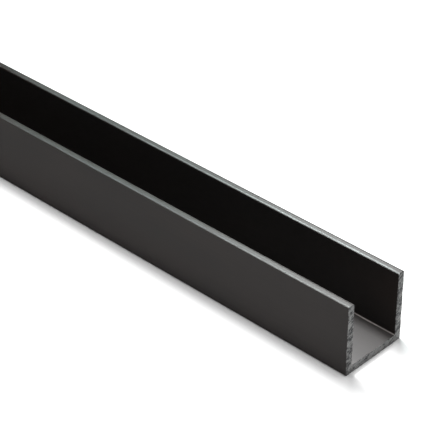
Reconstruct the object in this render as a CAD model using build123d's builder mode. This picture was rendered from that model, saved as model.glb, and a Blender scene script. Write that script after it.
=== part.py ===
"""U-channel: one straight length of extruded channel.

A flat web lies along the underside, and two equal flanges stand up from its long sides. Together they
form a groove that is open at the top and at both ends. The section is the same along the whole length.

The origin is the middle of the underside. +X runs along the length, and +Z points out of the open side.
"""

import os

from build123d import *

# Driving dimensions, in millimetres
length = 300.0
width = 20.0  # over the outsides of the flanges
height = 20.0  # from the underside of the web to the flange tips
web_wall = 2.0
flange_wall = 2.0
tip_edge_radius = 0.3  # both long edges of each flange tip
outer_corner_radius = 0.3  # where a flange meets the underside
inner_corner_radius = 0.3  # where a flange meets the web in the groove

# The groove between the flanges
groove_width = width - 2 * flange_wall
groove_depth = height - web_wall

# The section is drawn across the middle of the length and is drawn out both ways.
with BuildPart() as u_channel:
    with BuildSketch(Plane.YZ) as section:
        Rectangle(width, height, align=(Align.CENTER, Align.MIN))
        with Locations((0, web_wall)):
            Rectangle(
                groove_width,
                groove_depth,
                align=(Align.CENTER, Align.MIN),
                mode=Mode.SUBTRACT,
            )

        # Corners are picked by their height: the underside's come first, then the groove's, the tips' last.
        groove_corners = section.vertices().group_by(Axis.Y)[1]
        fillet(groove_corners, radius=inner_corner_radius)
        underside_corners = section.vertices().group_by(Axis.Y)[0]
        fillet(underside_corners, radius=outer_corner_radius)
        tip_corners = section.vertices().group_by(Axis.Y)[-1]
        fillet(tip_corners, radius=tip_edge_radius)
    extrude(amount=length / 2, both=True)

u_channel.part.label = "u_channel"

os.makedirs("parts", exist_ok=True)
export_step(u_channel.part, "parts/u_channel.step")
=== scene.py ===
# %% [markdown]
# # A length of black anodised U-channel
#
# This lesson builds one piece of stock: an aluminium U-channel, 20 mm wide and 20 mm high, anodised black
# and sawn to length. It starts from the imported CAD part, which is loaded as a fixed frame. The channel that
# shows is modelled to the same section, with the marks of the saw on its two cut ends.
#
# Real channel is made in three steps. Hot aluminium is pushed through a steel die, which leaves very fine
# lines along the length. The long bar is then etched, anodised and dyed, which turns the whole skin satin
# black. Last, the bar is sawn to length, and the saw lays bare the grey metal inside.
#
# The lesson sets up the camera, the table and the lamps first. It then mixes the black skin and the bare
# metal, and models the channel last.

# %% Load the frame
import math

import bmesh
import bpy
from mathutils import Matrix, Vector, noise


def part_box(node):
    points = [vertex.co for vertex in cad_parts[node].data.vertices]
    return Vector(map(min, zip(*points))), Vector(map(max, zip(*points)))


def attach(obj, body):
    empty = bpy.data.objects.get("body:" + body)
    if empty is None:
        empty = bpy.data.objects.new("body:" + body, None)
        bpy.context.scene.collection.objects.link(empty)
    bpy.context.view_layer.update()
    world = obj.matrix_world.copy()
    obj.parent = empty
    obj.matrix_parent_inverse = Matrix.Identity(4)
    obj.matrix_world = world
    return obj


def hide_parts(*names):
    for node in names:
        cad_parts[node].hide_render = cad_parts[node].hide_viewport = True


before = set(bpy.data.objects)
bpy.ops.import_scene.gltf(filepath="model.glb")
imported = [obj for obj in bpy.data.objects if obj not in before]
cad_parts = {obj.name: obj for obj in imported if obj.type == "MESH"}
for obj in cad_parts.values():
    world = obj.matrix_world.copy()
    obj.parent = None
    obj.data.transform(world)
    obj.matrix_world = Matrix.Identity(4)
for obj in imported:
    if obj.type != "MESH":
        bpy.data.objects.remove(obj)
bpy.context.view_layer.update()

# %% [markdown]
# ## Sizes from the frame
#
# Every size of the section is read from the CAD node's own points, so the channel that shows has the same
# walls and the same rounded corners as the solid. The flanges are the points above half the height. The
# web's upper face is the lowest level in the groove that isn't the underside.

# %% Read the section's sizes
MM = 0.001
SAME = 0.001 * MM

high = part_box("u_channel")[1]
half_length, half_width, height = high.x, high.y, high.z
corners = [(abs(v.co.y), v.co.z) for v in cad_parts["u_channel"].data.vertices]
half_groove = min(y for y, z in corners if z > height / 2)
web_top = min(z for y, z in corners if y < half_groove - SAME and z > SAME)
tip_radius = height - max(z for y, z in corners if abs(y - half_groove) < SAME)
groove_radius = half_groove - max(y for y, z in corners if abs(z - web_top) < SAME)
underside_radius = half_width - max(y for y, z in corners if z < SAME)
sizes = (half_groove, web_top, tip_radius, groove_radius, underside_radius)
print("half groove, web, radii in mm:", [round(size / MM, 3) for size in sizes])


# %% [markdown]
# ## Two small helpers
#
# Paint and dye colours are written as sRGB hex values, the way a colour chart gives them. Blender's sockets
# take linear colours, so one function turns them over. A second function adds a shader node with its
# settings and its links, which keeps each material readable as a list of steps.

# %% Define the helpers
def linear(hex_colour):
    """The linear colour, with full alpha, of an sRGB hex colour."""
    channels = [int(hex_colour[i:i + 2], 16) / 255 for i in (1, 3, 5)]
    return tuple(c / 12.92 if c <= 0.04045 else ((c + 0.055) / 1.055) ** 2.4 for c in channels) + (1.0,)


def add_node(tree, kind, settings=None, inputs=None):
    """Adds a node, sets its settings, and feeds each input with another node's output or a plain value."""
    node = tree.nodes.new(kind)
    for name, value in (settings or {}).items():
        setattr(node, name, value)
    for name, value in (inputs or {}).items():
        if isinstance(value, bpy.types.NodeSocket):
            tree.links.new(value, node.inputs[name])
        else:
            node.inputs[name].default_value = value
    return node


print("the grey #808080 is", round(linear("#808080")[0], 3), "in linear light")

# %% [markdown]
# ## The camera
#
# The camera stands to the right of the near cut end and looks down along the channel with a long lens. It is
# placed from the channel's nearest bottom corner: that corner shows at a known place in the picture and lies
# at a known distance along the view. A plain camera location follows from those.

# %% Place the camera
PICTURE = 447
LENS_PIXELS = 1718.6
SENSOR_MM = 36.0
CLIP_START = 0.01
AZIMUTH, ELEVATION, ROLL = (math.radians(a) for a in (43.903, 34.423, -0.244))
CORNER_PIXEL = (345.79, 376.56)
CORNER_DEPTH = 20.055 * 2 * half_width

back = Vector((
    math.sin(AZIMUTH) * math.cos(ELEVATION),
    -math.cos(AZIMUTH) * math.cos(ELEVATION),
    math.sin(ELEVATION),
))
level_right = Vector((math.cos(AZIMUTH), math.sin(AZIMUTH), 0))
level_up = back.cross(level_right)
right = math.cos(ROLL) * level_right + math.sin(ROLL) * level_up
up = math.cos(ROLL) * level_up - math.sin(ROLL) * level_right
near_corner = Vector((half_length, -half_width, 0))
corner_right = (CORNER_PIXEL[0] - PICTURE / 2) / LENS_PIXELS * CORNER_DEPTH
corner_up = (PICTURE / 2 - CORNER_PIXEL[1]) / LENS_PIXELS * CORNER_DEPTH

camera = bpy.data.objects.new("camera", bpy.data.cameras.new("camera"))
camera.data.sensor_width = SENSOR_MM
camera.data.lens = LENS_PIXELS / PICTURE * SENSOR_MM
camera.data.clip_start = CLIP_START
camera.matrix_world = Matrix.Translation(
    near_corner - right * corner_right - up * corner_up + back * CORNER_DEPTH
) @ Matrix((right, up, back)).transposed().to_4x4()
bpy.context.collection.objects.link(camera)
bpy.context.scene.camera = camera
bpy.context.scene.view_settings.view_transform = "Standard"
print("camera at", [round(c, 4) for c in camera.matrix_world.translation])
print("lens in mm:", round(camera.data.lens, 1))


# %% [markdown]
# ## The table
#
# The channel lies on a matt white table that fills the picture. The table is real white paint under the
# lamps, plus a weak glow of its own that lifts the shadow to the pale grey of a product picture. Only the
# camera and reflections see that glow. The table lies a hair under the channel, so the two faces don't fight.
#
# The glow, and the sky after it, need a brightness that isn't the same for every ray. Light Path tells the
# rays apart, and two Map Range nodes choose between the three levels.

# %% Lay the table
FLOOR_HALF = 1.5
FLOOR_GAP = 0.02 * MM
FLOOR_GLOW = 0.055


def background_level(tree, to_camera, in_gloss, as_light):
    """One brightness for the camera, one for rays off gloss or through glass, and one for all other rays."""
    light_path = add_node(tree, "ShaderNodeLightPath")
    mirrored = add_node(tree, "ShaderNodeMath", {"operation": "MAXIMUM"}, {
        0: light_path.outputs["Is Glossy Ray"],
        1: light_path.outputs["Is Transmission Ray"],
    })
    unseen = add_node(tree, "ShaderNodeMapRange", None, {
        "Value": mirrored.outputs[0],
        "To Min": as_light,
        "To Max": in_gloss,
    })
    level = add_node(tree, "ShaderNodeMapRange", None, {
        "Value": light_path.outputs["Is Camera Ray"],
        "To Min": unseen.outputs[0],
        "To Max": to_camera,
    })
    return level.outputs[0]


table_white = bpy.data.materials.new("matt_white_table")
table_white.use_nodes = True
tree = table_white.node_tree
tree.nodes.clear()
matt = add_node(tree, "ShaderNodeBsdfDiffuse", None, {"Color": linear("#f2f2f2")})
glow = add_node(tree, "ShaderNodeEmission", None, {
    "Strength": background_level(tree, to_camera=FLOOR_GLOW, in_gloss=FLOOR_GLOW, as_light=0.0),
})
both = add_node(tree, "ShaderNodeAddShader", None, {0: matt.outputs[0], 1: glow.outputs[0]})
add_node(tree, "ShaderNodeOutputMaterial", None, {"Surface": both.outputs[0]})

floor_mesh = bpy.data.meshes.new("floor")
floor_mesh.from_pydata(
    [(x * FLOOR_HALF, y * FLOOR_HALF, -FLOOR_GAP) for x, y in ((-1, -1), (1, -1), (1, 1), (-1, 1))],
    [],
    [(0, 1, 2, 3)],
)
floor_mesh.materials.append(table_white)
floor = bpy.data.objects.new("floor", floor_mesh)
bpy.context.collection.objects.link(floor)
print("table:", 2 * FLOOR_HALF, "m wide,", FLOOR_GAP / MM, "mm under the channel")

# %% [markdown]
# ## The sky
#
# The sky is white to the camera. It is dim in reflections and as a light, because the studio round black
# stock is kept dark: a satin black skin mirrors whatever stands above it, and a white room would turn it
# grey.

# %% Set the sky
SKY_TO_CAMERA = 1.0
SKY_IN_GLOSS = 0.15
SKY_LIGHT = 0.05

world = bpy.data.worlds.new("studio")
bpy.context.scene.world = world
world.use_nodes = True
tree = world.node_tree
tree.nodes.clear()
sky = add_node(tree, "ShaderNodeBackground", None, {
    "Strength": background_level(tree, SKY_TO_CAMERA, SKY_IN_GLOSS, SKY_LIGHT),
})
add_node(tree, "ShaderNodeOutputWorld", None, {"Surface": sky.outputs[0]})
print("sky levels:", SKY_TO_CAMERA, "to the camera,", SKY_IN_GLOSS, "in gloss,", SKY_LIGHT, "as light")


# %% [markdown]
# ## The lamps
#
# Anodised extrusion isn't equally glossy all round. The die lines run along the length, so they spread a
# reflection across the channel and keep it narrow along the channel. Black channel therefore only shines for
# lamps that stand at one slant behind it, about as far back as the camera is in front.
#
# Four lamps hang at that slant. The groove's softbox is turned only a little from overhead, so its light
# falls down into the groove and reaches the web, apart from a strip beside the far flange. A weak strip right
# over the channel opens that dark strip a little. The back softbox hangs lower and brightens the web's near
# side. The long strip is lower still, behind the channel, and draws the bright flange tips. Its tubes are a
# little cooler. Two more softboxes hang overhead, off that slant. The skin hardly shows them, but they whiten
# the table and keep the channel's shadow short.
#
# Each lamp is placed by how far it leans along the channel and how far it is turned away from overhead, seen
# from the near cut end. Blender gives a rectangular lamp's power in watts for its whole face, so the power is
# worked out from the brightness of the face: pi times the area times that brightness.

# %% Hang the lamps
def hang_lamp(name, lean, turn, distance, along, over, brightness, colour="#ffffff"):
    """A rectangular lamp. Lean is positive past the near end, and turn is positive behind the channel.

    Both are in degrees. The distance and the lamp's two sides are in metres.
    """
    lean, turn = math.radians(lean), math.radians(turn)
    outward = Vector((
        math.sin(lean),
        math.cos(lean) * math.sin(turn),
        math.cos(lean) * math.cos(turn),
    ))
    side = outward.cross(Vector((1, 0, 0))).normalized()
    lamp = bpy.data.lights.new(name, "AREA")
    lamp.shape = "RECTANGLE"
    lamp.size = along
    lamp.size_y = over
    lamp.color = linear(colour)[:3]
    lamp.energy = math.pi * along * over * brightness
    holder = bpy.data.objects.new(name, lamp)
    holder.matrix_world = Matrix.Translation(
        Vector((half_length, 0, 0)) + outward * distance
    ) @ Matrix((side.cross(outward), side, outward)).transposed().to_4x4()
    bpy.context.collection.objects.link(holder)
    print(name, "at", [round(c, 2) for c in holder.matrix_world.translation])


hang_lamp("overhead_softbox", lean=3, turn=2, distance=1.1, along=0.3, over=0.34, brightness=16.5)
hang_lamp("second_softbox", lean=-14, turn=2, distance=1.1, along=0.2, over=0.34, brightness=16)
hang_lamp("groove_softbox", lean=-29, turn=8.5, distance=1.0, along=0.2, over=0.14, brightness=49)
hang_lamp("weak_strip", lean=-29, turn=0.5, distance=1.0, along=0.2, over=0.12, brightness=14)
hang_lamp("back_softbox", lean=-31, turn=25, distance=1.0, along=0.16, over=0.42, brightness=16.5)
hang_lamp("low_strip", lean=-39, turn=47, distance=1.0, along=0.3, over=0.12, brightness=27, colour="#e8fffb")

# %% [markdown]
# ## The black anodised skin
#
# Anodising grows a clear, hard oxide out of the metal. A black dye soaks into it and is sealed in. The bar is
# etched before, so the skin is satin and not shiny. It is modelled as a black, non-metal surface with a clear
# gloss, because nothing of the metal shows through the dye.
#
# The gloss is drawn out across the length, for which the shader needs the direction across: the cross product
# of the surface's normal and the channel's own direction.

# %% Start the skin
anodised = bpy.data.materials.new("satin_black_anodised_skin")
anodised.use_nodes = True
tree = anodised.node_tree
tree.nodes.clear()
geometry = add_node(tree, "ShaderNodeNewGeometry")
gloss_direction = add_node(tree, "ShaderNodeVectorMath", {"operation": "CROSS_PRODUCT"}, {
    0: geometry.outputs["Normal"],
    1: (1, 0, 0),
})
print("skin started:", anodised.name)


# %% [markdown]
# ## Die lines, etch and dye
#
# The making leaves three patterns. Die lines, about 0.35 mm apart and far longer than they are wide, change
# the roughness and the slope a little. Real die lines are mostly under 0.1 mm apart, which is too fine to
# show, so they are drawn coarser. The etch leaves a fine grain, here 0.25 mm wide for the same reason. The
# dye takes slightly browner in slow, wide patches.
#
# All three are noise, stretched to the size of the real pattern. Its size is given in millimetres.

# %% Draw the die lines, the etch and the dye
SATIN = (0.39, 0.45)
LINE_SPAN = (0.3, 0.7)
ETCH_SHARE = 0.35
LINE_DEPTH = 0.006 * MM

# A Mix node's colour sockets have no names of their own, so they go by number.
MIX_A = 6
MIX_B = 7
MIX_RESULT = 2


def grain(tree, patch_mm, detail, turn=0.0):
    """Noise in patches of the given size in mm along X, Y and Z, turned about X by an angle in degrees."""
    patch = add_node(tree, "ShaderNodeMapping", {"vector_type": "TEXTURE"}, {
        "Vector": add_node(tree, "ShaderNodeTexCoord").outputs["Object"],
        "Rotation": (math.radians(turn), 0.0, 0.0),
        "Scale": tuple(size * MM for size in patch_mm),
    })
    return add_node(tree, "ShaderNodeTexNoise", None, {
        "Vector": patch.outputs[0],
        "Scale": 1.0,
        "Detail": detail,
    }).outputs["Fac"]


die_lines = grain(tree, (70, 0.35, 0.35), detail=3.0)
etch = grain(tree, (0.25, 0.25, 0.25), detail=2.0)
dye_patches = grain(tree, (30, 9, 9), detail=2.0)

dyed = add_node(tree, "ShaderNodeMix", {"data_type": "RGBA"}, {
    "Factor": dye_patches,
    MIX_A: linear("#1a1615"),
    MIX_B: linear("#2a221f"),
})
lined = add_node(tree, "ShaderNodeMapRange", None, {
    "Value": die_lines,
    "From Min": LINE_SPAN[0],
    "From Max": LINE_SPAN[1],
    "To Min": SATIN[0],
    "To Max": SATIN[1],
})
height_map = add_node(tree, "ShaderNodeMath", {"operation": "MULTIPLY_ADD"}, {
    0: etch,
    1: ETCH_SHARE,
    2: die_lines,
})
bump = add_node(tree, "ShaderNodeBump", None, {
    "Height": height_map.outputs[0],
    "Strength": 1.0,
    "Distance": LINE_DEPTH,
})
print("skin nodes after the patterns:", len(tree.nodes))


# %% [markdown]
# ## Marks of handling, and painted highlights
#
# Four marks are added. A strip along the front of each flange tip is painted paler and a little cool: partly
# wear from bars sliding over a bench, and partly a painted highlight for the lamps' glint along the tip. It
# is strongest on the far flange and near the ends. A strip along the back of each tip has been scuffed dull,
# so it scatters the lamps more and looks darker. The outer faces lay against other bars, so they are more
# matt than the groove. They are least matt at the near end, where hands have polished them. A thin pale line
# along the groove's corners is a painted highlight, for the corners' small rounding catching the light.
#
# Each mark has a mask: 0 off the mark, and up to 1 on it. A mask is a chain of ramps, and each ramp asks
# one thing of a point, such as how high it lies. The masks need to know where a point is: how far off the
# channel's middle plane, off the middle of its length, and off the middle of the nearer flange.

# %% Find where a point lies
flange_middle = (half_width + half_groove) / 2

place = add_node(tree, "ShaderNodeTexCoord").outputs["Object"]
spot = add_node(tree, "ShaderNodeSeparateXYZ", None, {0: place})
spot_x, spot_y, spot_z = (spot.outputs[axis] for axis in "XYZ")
off_centre = add_node(tree, "ShaderNodeMath", {"operation": "ABSOLUTE"}, {0: spot_y}).outputs[0]
off_middle = add_node(tree, "ShaderNodeMath", {"operation": "ABSOLUTE"}, {0: spot_x}).outputs[0]
side_of_web = add_node(tree, "ShaderNodeMath", {"operation": "SIGN"}, {0: spot_y}).outputs[0]
over_tip = add_node(tree, "ShaderNodeMath", {"operation": "MULTIPLY_ADD"}, {
    0: side_of_web,
    1: -flange_middle,
    2: spot_y,
}).outputs[0]
print("middle of a flange:", round(flange_middle / MM, 3), "mm off the middle plane")


# %% Mask the marks
def mask(tree, *edges):
    """1 where every value is past its edge, and 0 where one isn't. An edge is a value, a start and an end."""
    level = 1.0
    for value, start, end in edges:
        level = add_node(tree, "ShaderNodeMapRange", None, {
            "Value": value,
            "From Min": start,
            "From Max": end,
            "To Max": level,
        }).outputs[0]
    return level


# The tips' pale strip: partly wear, partly a painted highlight for the lamps' glint.
rubbed_and_highlight = mask(
    tree,
    (over_tip, -0.3 * MM, -0.5 * MM),  # in front of the tip's middle
    (over_tip, -0.95 * MM, -0.8 * MM),  # fading out over its rounded edge
    (spot_z, height - 0.2 * MM, height - 0.1 * MM),  # only on top
    (off_middle, 20 * MM, half_length),  # more towards the two ends
    (spot_y, -2 * half_width, half_width),  # more on the far flange
    (grain(tree, (6, 0.6, 0.6), detail=4.0), 0.2, 0.6),  # in streaks
)
scuffed = mask(
    tree,
    (over_tip, 0.25 * MM, 0.8 * MM),  # behind the tip's middle
    (spot_z, height - 0.5 * MM, height - 0.3 * MM),  # only at the top
)
handled = mask(
    tree,
    (off_centre, half_width - 0.3 * MM, half_width - 0.1 * MM),  # on the outer faces
    (spot_z, height - 0.1 * MM, height - 0.4 * MM),  # but not on the tip's rounded edge
    (spot_x, 1.6 * half_length, 0.1 * half_length),  # less towards the near end
)
# The corners' pale line: a painted highlight, where their small rounding would catch the light.
painted_corner_highlight = mask(
    tree,
    (off_centre, half_groove - 0.3 * MM, half_groove - 0.12 * MM),  # close to the flange
    (off_centre, half_groove + 0.1 * MM, half_groove + 0.05 * MM),  # but not past it
    (spot_z, web_top + 0.3 * MM, web_top + 0.12 * MM),  # no higher than the corner
    (grain(tree, (8, 0.5, 0.5), detail=3.0), 0.1, 0.5),  # thicker and thinner
)
print("skin nodes after the masks:", len(tree.nodes))

# %% Finish the skin
MATT = 0.56
SCUFFED = 0.7

matt_roughness = add_node(tree, "ShaderNodeMapRange", None, {
    "Value": handled,
    "To Min": lined.outputs[0],
    "To Max": MATT,
})
skin_roughness = add_node(tree, "ShaderNodeMapRange", None, {
    "Value": scuffed,
    "To Min": matt_roughness.outputs[0],
    "To Max": SCUFFED,
})
# The corners' painted highlight, a pale line, goes into the dye's colour.
corner_highlighted = add_node(tree, "ShaderNodeMix", {"data_type": "RGBA"}, {
    "Factor": painted_corner_highlight,
    MIX_A: dyed.outputs[MIX_RESULT],
    MIX_B: linear("#b8b0ac"),
})
# The tips' pale, cool strip goes into the colour: partly wear, partly a painted highlight.
skin_colour = add_node(tree, "ShaderNodeMix", {"data_type": "RGBA"}, {
    "Factor": rubbed_and_highlight,
    MIX_A: corner_highlighted.outputs[MIX_RESULT],
    MIX_B: linear("#8b9493"),
})
skin = add_node(tree, "ShaderNodeBsdfPrincipled", None, {
    "Base Color": skin_colour.outputs[MIX_RESULT],
    "Roughness": skin_roughness.outputs[0],
    "IOR": 1.5,
    "Anisotropic": 1.0,
    "Tangent": gloss_direction.outputs[0],
    "Normal": bump.outputs[0],
})
add_node(tree, "ShaderNodeOutputMaterial", None, {"Surface": skin.outputs[0]})
print("skin nodes in all:", len(tree.nodes))

# %% [markdown]
# ## The sawn metal
#
# A coarse saw tears soft aluminium as much as it cuts it. The bare end is a dull mid grey, with darker smears
# where the metal was dragged and the cutting oil stayed, and paler spots where it broke clean. It is a metal
# with a plain grey colour, mottled in patches of about 0.8 mm and in finer ones of 0.3 mm. The smears are
# longer than they are wide, and lie along the path of the teeth, which crosses this section at 30 degrees.
# Towards the web the cut is painted a little paler. That is painted light: it makes up for the shade that the
# bottom of the cut takes from the shadow on the table.

# %% Mottle the cut
TOOTH_PATH = 30
FINE_SHARE = 0.5
SMEAR_SHARE = 0.9
PAINTED_LIFT_AT_WEB = 0.1
SHADE_SPAN = (1.09, 1.36)

sawn = bpy.data.materials.new("coarse_sawn_aluminium")
sawn.use_nodes = True
tree = sawn.node_tree
tree.nodes.clear()
torn_patches = grain(tree, (0.8, 0.8, 0.8), detail=3.0)
fine_patches = grain(tree, (0.3, 0.3, 0.3), detail=2.0)
smears = grain(tree, (1.0, 2.6, 0.45), detail=2.0, turn=TOOTH_PATH)
patchy = add_node(tree, "ShaderNodeMath", {"operation": "MULTIPLY_ADD"}, {
    0: fine_patches,
    1: FINE_SHARE,
    2: torn_patches,
})
mottle = add_node(tree, "ShaderNodeMath", {"operation": "MULTIPLY_ADD"}, {
    0: smears,
    1: SMEAR_SHARE,
    2: patchy.outputs[0],
})
heights = add_node(tree, "ShaderNodeSeparateXYZ", None, {
    0: add_node(tree, "ShaderNodeTexCoord").outputs["Object"],
})
# Painted light: the cut is made paler towards its bottom, where the table's shadow darkens it.
painted_web_lift = add_node(tree, "ShaderNodeMapRange", None, {
    "Value": heights.outputs["Z"],
    "From Min": web_top + 2 * MM,
    "From Max": web_top / 2,
    "To Max": PAINTED_LIFT_AT_WEB,
})
lifted_mottle = add_node(tree, "ShaderNodeMath", {"operation": "ADD"}, {
    0: mottle.outputs[0],
    1: painted_web_lift.outputs[0],
})
shade = add_node(tree, "ShaderNodeMapRange", None, {
    "Value": lifted_mottle.outputs[0],
    "From Min": SHADE_SPAN[0],
    "From Max": SHADE_SPAN[1],
})
print("cut metal nodes after the mottle:", len(tree.nodes))

# %% [markdown]
# ## The sawn metal's finish
#
# The shade is 0 in a dark smear and 1 on a pale spot. It sets the colour. The roughness follows the same
# patches, because a smear is smoother than a torn spot. The mottle also tilts the surface a little, for the
# tears that are too small to model. The oil and dust on the cut hide part of the bare metal, so the shader
# isn't fully metallic.

# %% Finish the cut metal
CUT_ROUGHNESS = (0.5, 0.7)
TEAR_DEPTH = 0.04 * MM
BARE_SHARE = 0.85

metal_colour = add_node(tree, "ShaderNodeMix", {"data_type": "RGBA"}, {
    "Factor": shade.outputs[0],
    MIX_A: linear("#29292b"),
    MIX_B: linear("#8f8f8e"),
})
metal_roughness = add_node(tree, "ShaderNodeMapRange", None, {
    "Value": shade.outputs[0],
    "To Min": CUT_ROUGHNESS[0],
    "To Max": CUT_ROUGHNESS[1],
})
torn = add_node(tree, "ShaderNodeBump", None, {
    "Height": mottle.outputs[0],
    "Strength": 1.0,
    "Distance": TEAR_DEPTH,
})
cut_metal = add_node(tree, "ShaderNodeBsdfPrincipled", None, {
    "Base Color": metal_colour.outputs[MIX_RESULT],
    "Metallic": BARE_SHARE,
    "Roughness": metal_roughness.outputs[0],
    "Normal": torn.outputs[0],
})
add_node(tree, "ShaderNodeOutputMaterial", None, {"Surface": cut_metal.outputs[0]})
print("cut metal nodes in all:", len(tree.nodes))

# %% [markdown]
# ## The section's outline
#
# The outline is drawn once round the section, corner by corner. Each corner is a short arc, because an
# extruded edge is never quite sharp: the die has a small radius there. Six steps to an arc are plenty for a
# radius of 0.3 mm.

# %% Draw the outline
ARC_STEPS = 6


def arc(y, z, radius, start, end):
    """Points of an arc about (y, z), from one angle to another in degrees."""
    angles = [math.radians(start + (end - start) * i / ARC_STEPS) for i in range(ARC_STEPS + 1)]
    return [(y + radius * math.cos(a), z + radius * math.sin(a)) for a in angles]


tip_z = height - tip_radius
outline = []
outline += arc(-half_width + underside_radius, underside_radius, underside_radius, 180, 270)
outline += arc(half_width - underside_radius, underside_radius, underside_radius, 270, 360)
outline += arc(half_width - tip_radius, tip_z, tip_radius, 0, 90)
outline += arc(half_groove + tip_radius, tip_z, tip_radius, 90, 180)
outline += arc(half_groove - groove_radius, web_top + groove_radius, groove_radius, 0, -90)
outline += arc(-half_groove + groove_radius, web_top + groove_radius, groove_radius, -90, -180)
outline += arc(-half_groove - tip_radius, tip_z, tip_radius, 0, 90)
outline += arc(-half_width + tip_radius, tip_z, tip_radius, 90, 180)
print(len(outline), "points round the section")


# %% [markdown]
# ## The marks of the saw
#
# The blade is a disc of about 260 mm, so its teeth leave faint arcs across the cut. Real tooth marks lie
# about 0.2 mm apart. They are drawn 0.6 mm apart, which is about the finest that the mesh on the cut can
# carry. Over them lie shallow torn hollows. Nothing is deeper than 0.1 mm, and all of it goes into the
# metal, so the channel stays inside its own length.
#
# The hollows are made of smooth noise, which gives the same value at a point each time. Each end of the
# channel has a seed of its own, so no two ends are alike.

# %% Shape the cut
BLADE_CENTRE = (-60 * MM, 115 * MM)
TOOTH_PITCH = 0.6 * MM
TOOTH_WANDER = 0.2 * MM
TOOTH_DEPTH_MM = 0.006
MEAN_DEPTH_MM = 0.035
DEEPEST_MM = 0.1
NEAR_SEED = 0.5
FAR_SEED = 40.5


def patches(y, z, size, seed):
    """Smooth noise from about -1 to 1, in patches of the given size. Each seed gives another pattern."""
    return noise.noise(Vector((y / size, z / size, seed)))


def cut_depth(y, z, seed):
    """How far the cut lies inside the channel's full length, in metres."""
    from_blade = math.hypot(y - BLADE_CENTRE[0], z - BLADE_CENTRE[1])
    reach = from_blade + TOOTH_WANDER * patches(y, z, 2 * MM, seed + 7)
    tooth = TOOTH_DEPTH_MM * math.sin(2 * math.pi * reach / TOOTH_PITCH)
    tears = 0.045 * patches(y, z, 0.9 * MM, seed) + 0.02 * patches(y, z, 0.4 * MM, seed + 3)
    return min(max(MEAN_DEPTH_MM + tooth + tears, 0.0), DEEPEST_MM) * MM


print("near cut's depth at the web's middle:", round(cut_depth(0, web_top / 2, NEAR_SEED) / MM, 4), "mm")


# %% [markdown]
# ## The crumbled rim
#
# Round the rim the metal has crumbled a little. The rim wavers inward by up to 0.14 mm, and the black skin
# ends between 0.03 and 0.23 mm behind the cut, which gives the cut its ragged outline. The crumbling fades
# out 0.4 mm inside the rim, so a function finds how far a point of the cut lies from the outline, and
# another finds which way is inward.

# %% Shape the rim
RIM_REACH = 0.4 * MM
RIM_CRUMB_MM = 0.14
SKIN_CLOSEST_MM = 0.03
SKIN_WANDER_MM = 0.2


def rim_wander(y, z, seed):
    """How far the rim has crumbled inward, in metres."""
    rough = 0.4 + 0.9 * patches(y, z, 1.1 * MM, seed + 11) + 0.5 * patches(y, z, 0.4 * MM, seed + 13)
    return min(max(rough, 0.0), 1.0) * RIM_CRUMB_MM * MM


def skin_start(y, z, seed):
    """How far behind the cut the black skin begins, in metres."""
    rough = 0.3 + 0.9 * patches(y, z, 1.2 * MM, seed + 17) + 0.5 * patches(y, z, 0.45 * MM, seed + 19)
    return (SKIN_CLOSEST_MM + SKIN_WANDER_MM * min(max(rough, 0.0), 1.0)) * MM


def nearest_on_outline(y, z):
    """How far away the outline's nearest point to (y, z) is, and that point."""
    best = (1.0, y, z)
    for (ay, az), (by, bz) in zip(outline, outline[1:] + outline[:1]):
        ly, lz = by - ay, bz - az
        share = ((y - ay) * ly + (z - az) * lz) / (ly * ly + lz * lz)
        share = min(max(share, 0.0), 1.0)
        py, pz = ay + share * ly, az + share * lz
        best = min(best, (math.hypot(y - py, z - pz), py, pz))
    return best


def rim_inward(y, z):
    """The direction from a point of the outline to the middle of the wall beside it."""
    if z > web_top:
        target = (math.copysign(flange_middle, y), min(z, height - (half_width - half_groove) / 2))
    elif abs(y) > half_groove:
        target = (math.copysign(flange_middle, y), max(z, web_top / 2))
    else:
        target = (y, web_top / 2)
    step = Vector((target[0] - y, target[1] - z))
    return step.normalized() if step.length > SAME else Vector((0, 0))


print("skin begins under the web", round(skin_start(0, 0, NEAR_SEED) / MM, 4), "mm behind the near cut")


# %% [markdown]
# ## Half of the channel
#
# One half is built at a time, from its cut end to the middle of the length. The outline is filled with one
# face, which is cut into a grid fine enough for the saw marks. Its rim is then drawn out along the channel in
# steps that are short at the cut and long towards the middle, because only the cut needs the detail. The
# first step is bare metal, and the rest is black skin. The marks are pressed in last.

# %% Fill the cut with a grid
GRID = 0.125 * MM
SKIN_SLOT = 0
METAL_SLOT = 1


def filled_outline():
    """The section's face at the near end, cut into a fine grid."""
    bm = bmesh.new()
    bm.faces.new([bm.verts.new((half_length, y, z)) for y, z in outline])
    spans = (
        (Vector((0, 1, 0)), -half_width, half_width),
        (Vector((0, 0, 1)), 0.0, height),
    )
    for axis, start, end in spans:
        for i in range(round(start / GRID), round(end / GRID) + 1):
            bmesh.ops.bisect_plane(
                bm,
                geom=bm.verts[:] + bm.edges[:] + bm.faces[:],
                dist=SAME,
                plane_co=axis * (i * GRID),
                plane_no=axis,
            )
    for face in bm.faces:
        face.material_index = METAL_SLOT
    return bm


print("grid squares across the cut:", round(2 * half_width / GRID))

# %% Draw out the walls and press in the marks
STATIONS = [s * MM for s in (0.25, 0.5, 1, 2, 4, 8, 16, 30, 50, 80, 115)]


def draw_out_walls(bm, seed):
    """Draws the rim out along the channel, ring by ring, to the middle of the length."""
    rim = [e for e in bm.edges if e.is_boundary]
    for ring, depth in enumerate([0.0] + STATIONS + [half_length]):
        made = bmesh.ops.extrude_edge_only(bm, edges=rim)["geom"]
        new_points = [g for g in made if isinstance(g, bmesh.types.BMVert)]
        new_edges = [g for g in made if isinstance(g, bmesh.types.BMEdge)]
        new_faces = [g for g in made if isinstance(g, bmesh.types.BMFace)]
        for v in new_points:
            behind = depth if ring else skin_start(v.co.y, v.co.z, seed)
            v.co.x = half_length - behind
        for face in new_faces:
            face.material_index = SKIN_SLOT if ring else METAL_SLOT
        ends = set(new_points)
        rim = [e for e in new_edges if all(v in ends for v in e.verts)]


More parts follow.
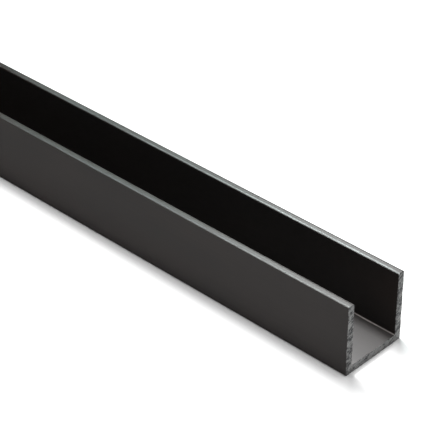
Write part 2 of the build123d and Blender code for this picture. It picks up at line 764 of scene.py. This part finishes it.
def press_in_marks(cut_points, seed):
    """Moves the points of the cut inward for the saw marks, and those near the rim for the crumbling."""
    for v in cut_points:
        y, z = v.co.y, v.co.z
        distance, rim_y, rim_z = nearest_on_outline(y, z)
        v.co.x = half_length - cut_depth(y, z, seed)
        if distance < RIM_REACH:
            inward = rim_inward(rim_y, rim_z)
            wander = rim_wander(rim_y, rim_z, seed) * (1 - distance / RIM_REACH)
            v.co.y += inward[0] * wander
            v.co.z += inward[1] * wander


print("rings along half the channel:", len(STATIONS) + 2)


# %% [markdown]
# ## The whole channel
#
# The far half is turned round and gets the far end's seed. Both halves are joined in the middle into one
# watertight piece. Its faces are shaded smooth, apart from edges that turn by more than 35 degrees, such as
# the rim of the cut.

# %% Join the two halves
SHARP_ANGLE = 35


def half_channel(side, seed):
    """One half of the channel. Side is 1 for the near half, and -1 for the far one, turned round."""
    bm = filled_outline()
    cut_points = bm.verts[:]
    draw_out_walls(bm, seed)
    press_in_marks(cut_points, seed)
    for v in bm.verts:
        v.co.x *= side
        v.co.y *= side
    return bm


joined = bmesh.new()
for side, seed in ((1, NEAR_SEED), (-1, FAR_SEED)):
    half = half_channel(side, seed)
    half_mesh = bpy.data.meshes.new("half")
    half.to_mesh(half_mesh)
    half.free()
    joined.from_mesh(half_mesh)
    bpy.data.meshes.remove(half_mesh)
bmesh.ops.remove_doubles(joined, verts=[v for v in joined.verts if abs(v.co.x) < SAME], dist=SAME)
bmesh.ops.recalc_face_normals(joined, faces=joined.faces[:])
print("open edges:", sum(1 for e in joined.edges if not e.is_manifold))

whole = bpy.data.meshes.new("channel")
joined.to_mesh(whole)
joined.free()
whole.materials.append(anodised)
whole.materials.append(sawn)
whole.shade_smooth()
whole.set_sharp_from_angle(angle=math.radians(SHARP_ANGLE))
channel = bpy.data.objects.new("channel", whole)
bpy.context.collection.objects.link(channel)
print("channel:", len(whole.vertices), "points")
print("channel:", sum(len(p.vertices) - 2 for p in whole.polygons), "triangles")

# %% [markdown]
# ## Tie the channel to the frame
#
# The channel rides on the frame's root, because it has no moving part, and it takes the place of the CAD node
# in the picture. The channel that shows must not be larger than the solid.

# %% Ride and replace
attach(channel, "root")
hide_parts("u_channel")
